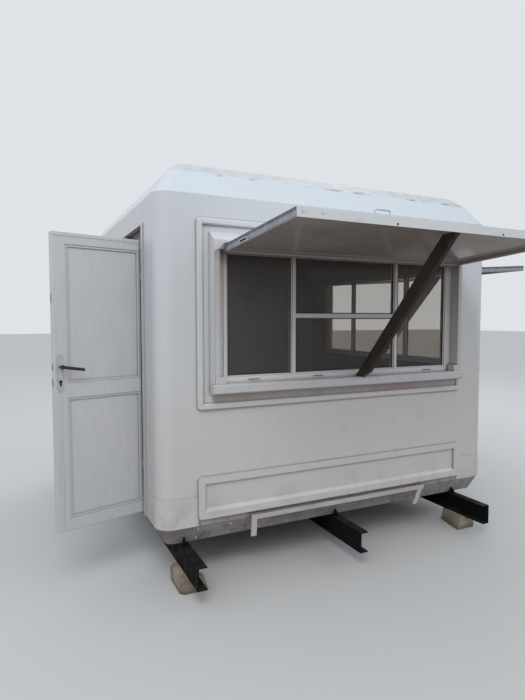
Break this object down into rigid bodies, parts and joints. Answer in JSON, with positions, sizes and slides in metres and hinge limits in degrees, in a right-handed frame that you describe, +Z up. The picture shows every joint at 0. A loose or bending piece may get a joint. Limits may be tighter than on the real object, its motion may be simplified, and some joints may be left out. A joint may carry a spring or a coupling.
{
  "type": "street kiosk",
  "caption": "Moulded street kiosk with serving windows under propped flaps on two sides and a narrow hinged door, standing on steel skids.",
  "frame": {"origin": "on the ground, under the middle of the whole object with its flaps and door open", "axes": "+Z up, the front with the main serving window faces -Y, the door is in the -X side"},
  "size_m": [4.3044, 4.0462, 2.68],
  "materials": {
    "shell": "brushed white paint on glass fibre",
    "base_paint": "weathered grey paint",
    "skid_paint": "black paint, scuffed",
    "stone": "rough limestone",
    "deck_board": "worn plywood",
    "window_paint": "white paint",
    "pane": "clear",
    "flap_sheet": "white paint",
    "prop_board": "dark stained board",
    "door_sheet": "white paint",
    "handle_black": "black",
    "bare_steel": "painted over, worn"
  },
  "bodies": {
    "kiosk": {"front_wall": "shell", "right_wall": "shell", "rear_wall": "shell", "left_wall_front": "shell", "left_wall_head": "shell", "left_wall_rear": "shell", "roof_shell": "shell", "corner_front_left": "shell", "corner_front_right": "shell", "corner_rear_left": "shell", "corner_rear_right": "shell", "base_sill_front": "base_paint", "base_sill_rear": "base_paint", "base_sill_left": "base_paint", "base_sill_right": "base_paint", "front_base_rail": "base_paint", "skid_left": "skid_paint", "skid_middle": "skid_paint", "skid_right": "skid_paint", "block_front_left": "stone", "block_front_right": "stone", "block_rear_left": "stone", "block_rear_right": "stone", "floor_deck": "deck_board", "floor_bearers": "skid_paint", "front_surround": "window_paint", "front_sash": "window_paint", "front_glass": "pane", "front_flap": "flap_sheet", "front_flap_hinges": "bare_steel", "front_flap_pull": "bare_steel", "front_prop": "prop_board", "right_surround": "window_paint", "right_sash": "window_paint", "right_glass": "pane", "right_flap": "flap_sheet", "right_flap_hinges": "bare_steel", "right_flap_pull": "bare_steel", "right_prop": "prop_board", "door_frame": "window_paint", "door_hinge_pins": "bare_steel"},
    "door": {"door_leaf": "door_sheet", "door_panels": "door_sheet", "door_lock_plates": "door_sheet", "door_hinge_straps": "bare_steel"},
    "lever": {"door_lever": "handle_black"}
  },
  "joints": [
    {"name": "door_hinge", "type": "hinge", "parent": "kiosk", "child": "door", "pos_m": [-1.58517, -0.70086, 0.373], "axis": [0, 0, 1], "range_deg": [-105, 50]},
    {"name": "lever_turn", "type": "hinge", "parent": "door", "child": "lever", "pos_m": [-2.10555, -0.83357, 1.381], "axis": [-0.2588, 0.9659, 0], "range_deg": [0, 40], "stiffness_Nm_per_rad": 1, "springref_deg": -22.92}
  ]
}
